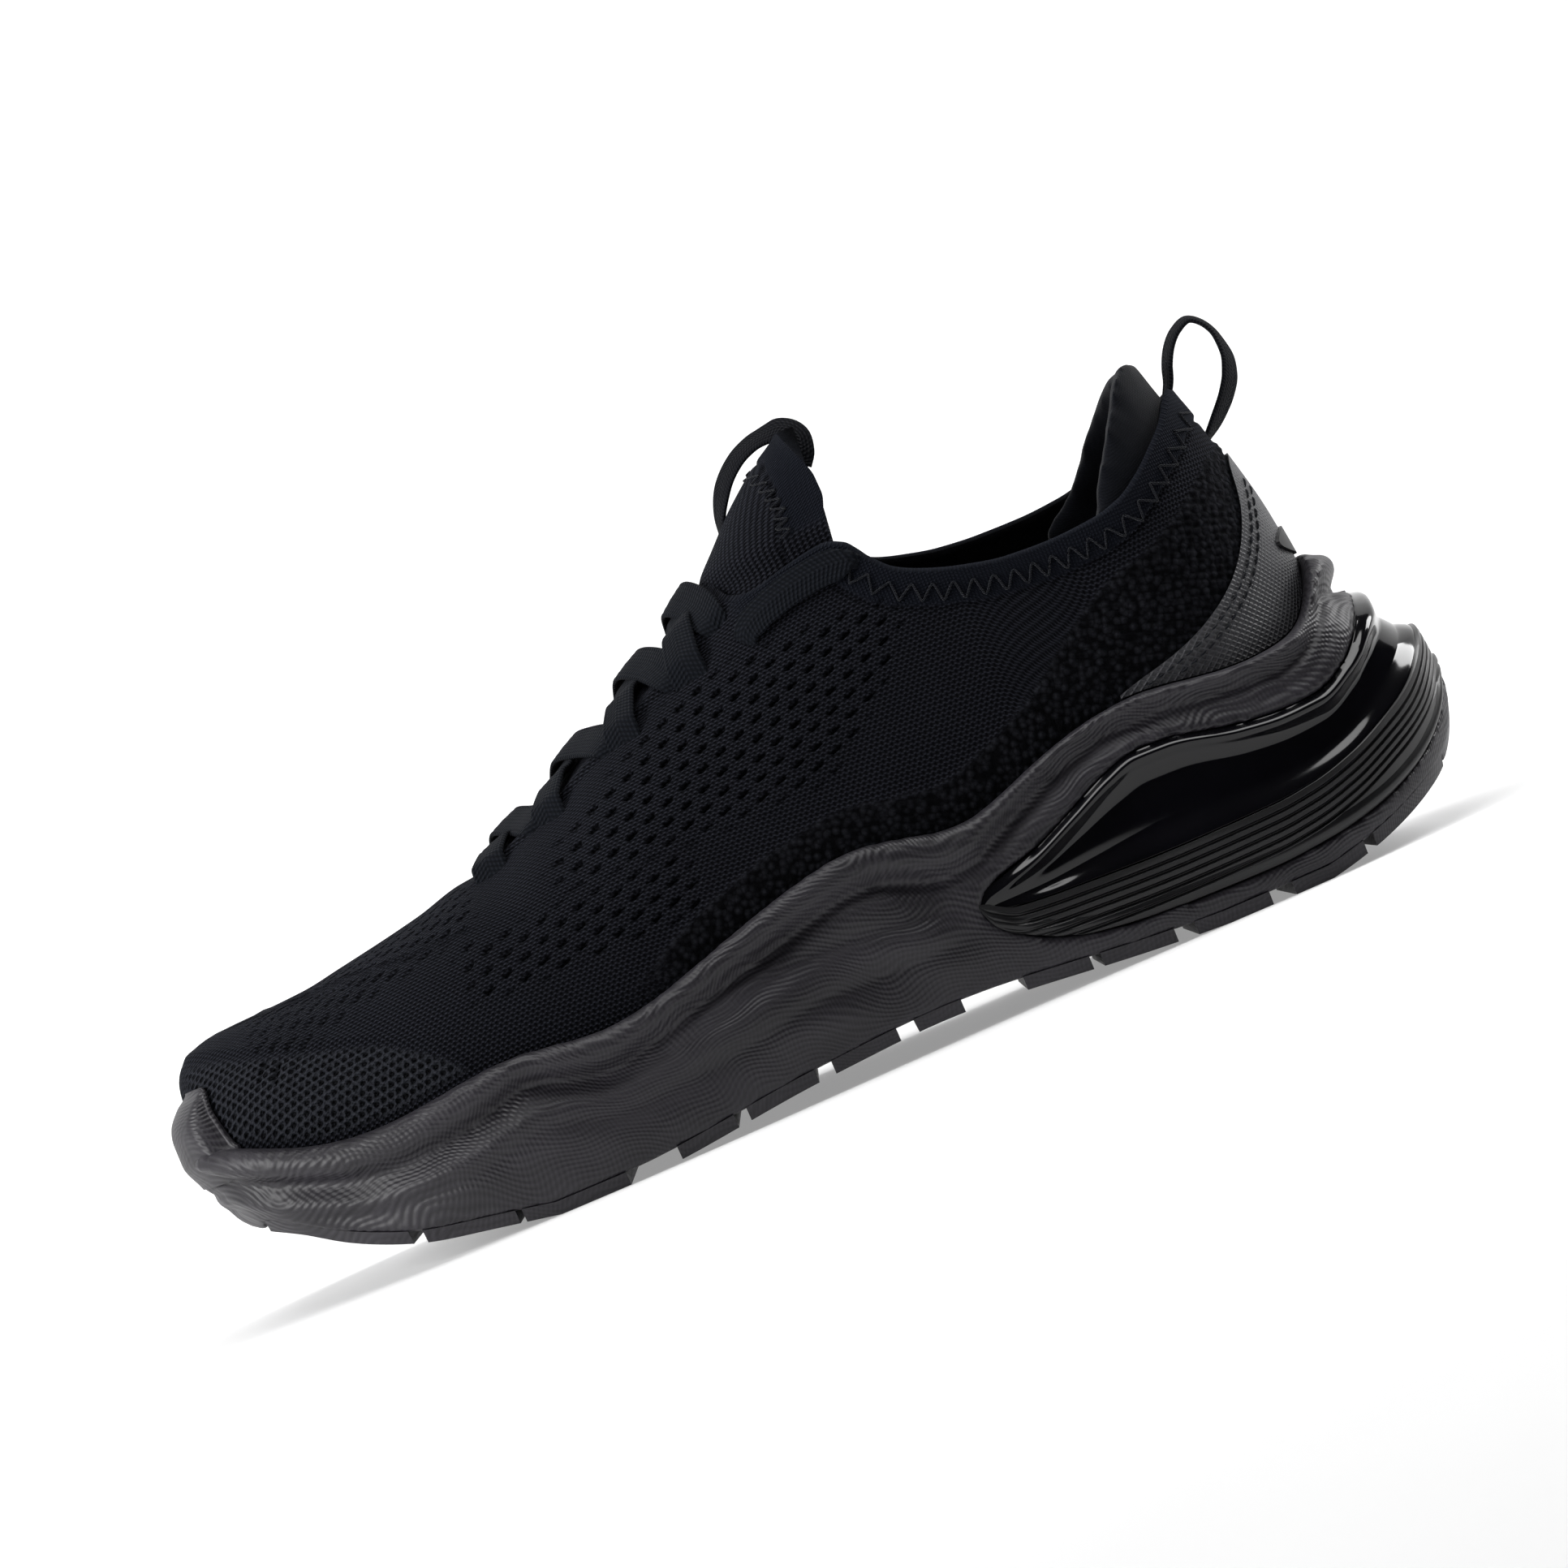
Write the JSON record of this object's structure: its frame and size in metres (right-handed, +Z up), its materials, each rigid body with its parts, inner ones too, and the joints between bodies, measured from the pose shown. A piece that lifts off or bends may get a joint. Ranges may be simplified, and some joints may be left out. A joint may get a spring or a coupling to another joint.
{
  "type": "running shoe",
  "caption": "Left running shoe: knitted sock upper, moulded foam midsole with a glossy air unit under the heel, rubber tread pods, flat laces and pull loops.",
  "frame": {"origin": "on the ground under the middle of the shoe's box", "axes": "+X from the toe to the heel, +Y to the inner (medial) side, +Z up"},
  "size_m": [0.2994, 0.1081, 0.1381],
  "materials": {
    "foam": "matte moulded foam",
    "rubber": "matte",
    "air": "glossy",
    "cradle": "satin, ribbed",
    "board": "plain",
    "liner": "brushed",
    "knit": "ribbed knit",
    "stiffener": "plain",
    "lining": "brushed knit",
    "overlay": "matte, fine grid",
    "badge": "satin",
    "tape": "ribbed webbing",
    "lace": "woven"
  },
  "bodies": {
    "shoe": {"midsole": "foam", "air_unit": "air", "air_cradle": "cradle", "strobel_board": "board", "sockliner": "liner", "knit_upper": "knit", "heel_counter": "stiffener", "heel_lining": "lining", "collar_pillow": "lining", "heel_overlay": "overlay", "heel_badge": "badge", "lace_under": "lace", "lace_over": "lace", "lace_band_outer": "lace", "lace_band_inner": "lace", "pod_03_outer": "rubber", "pod_03_inner": "rubber", "pod_04_outer": "rubber", "pod_04_inner": "rubber", "pod_05_outer": "rubber", "pod_05_inner": "rubber", "pod_06_outer": "rubber", "pod_06_inner": "rubber", "pod_07_outer": "rubber", "pod_07_inner": "rubber", "pod_08_outer": "rubber", "pod_08_inner": "rubber", "pod_09_outer": "rubber", "pod_09_inner": "rubber", "pod_10_outer": "rubber", "pod_10_inner": "rubber", "pod_rear": "rubber"},
    "forefoot": {"pod_toe": "rubber", "pod_01_outer": "rubber", "pod_01_inner": "rubber", "pod_02_outer": "rubber", "pod_02_inner": "rubber", "toe_bumper": "rubber", "toe_puff": "stiffener"},
    "tongue": {"tongue": "knit"},
    "tongue_loop": {"tongue_loop": "tape"},
    "heel_loop": {"heel_loop": "tape"}
  },
  "joints": [
    {"name": "forefoot_flex", "type": "hinge", "parent": "shoe", "child": "forefoot", "pos_m": [-0.05, 0, 0.013], "axis": [0, 1, 0], "range_deg": [0, 25], "stiffness_Nm_per_rad": 8, "deforming": ["midsole", "knit_upper", "sockliner", "strobel_board"]},
    {"name": "tongue_flex", "type": "hinge", "parent": "shoe", "child": "tongue", "pos_m": [0.0096, 0, 0.1154], "axis": [0, -1, 0], "range_deg": [-4, 20], "stiffness_Nm_per_rad": 0.3},
    {"name": "tongue_loop_sway", "type": "hinge", "parent": "tongue", "child": "tongue_loop", "pos_m": [0.0176, 0, 0.1256], "axis": [0.9664, 0, 0.2571], "range_deg": [-12, 12], "stiffness_Nm_per_rad": 0.02},
    {"name": "heel_loop_sway", "type": "hinge", "parent": "shoe", "child": "heel_loop", "pos_m": [0.1204, 0, 0.1128], "axis": [0.4532, 0, -0.8914], "range_deg": [-18, 18], "stiffness_Nm_per_rad": 0.02}
  ]
}
